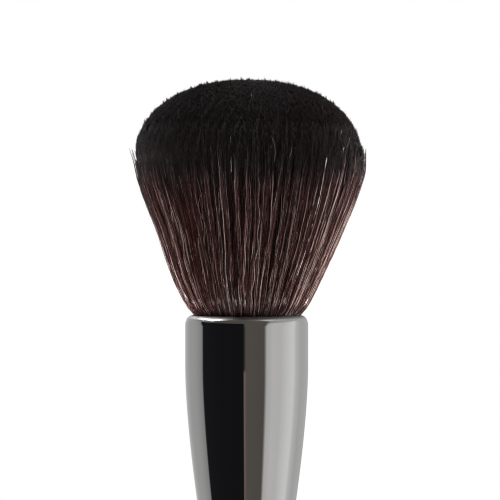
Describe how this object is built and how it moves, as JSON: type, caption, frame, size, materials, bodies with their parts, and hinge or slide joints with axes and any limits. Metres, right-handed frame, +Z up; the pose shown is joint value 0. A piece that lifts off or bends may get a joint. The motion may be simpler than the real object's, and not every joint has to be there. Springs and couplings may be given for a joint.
{
  "type": "kabuki makeup brush",
  "caption": "Round domed powder brush: dark filament head in a long tapered gunmetal ferrule, on a short waisted handle that stands upright.",
  "frame": {"origin": "centre of the foot, on the surface that the brush stands on", "axes": "+Z up along the brush's axis, from the foot to the dome of the filaments"},
  "size_m": [0.0468, 0.0468, 0.1283],
  "materials": {
    "filaments": "near-black tips fading to dark reddish brown filaments",
    "waxed_thread": "waxed twine",
    "sleeve_plastic": "matt moulded",
    "cast_resin": "cured cast resin",
    "gunmetal_plate": "mirror gunmetal plating",
    "adhesive": "cured adhesive",
    "black_lacquer": "gloss black lacquer over a moulding",
    "slug_steel": "turned steel",
    "foam_pad": "die-cut foam",
    "cap_plastic": "fine moulded grain"
  },
  "bodies": {
    "root": {"bristle_bundle": "filaments", "root_thread": "waxed_thread", "packing_sleeve": "sleeve_plastic", "root_resin": "cast_resin", "ferrule": "gunmetal_plate", "tenon_glue": "adhesive", "handle_shell": "black_lacquer", "balance_weight": "slug_steel", "weight_pad": "foam_pad", "base_cap": "cap_plastic"}
  },
  "joints": []
}
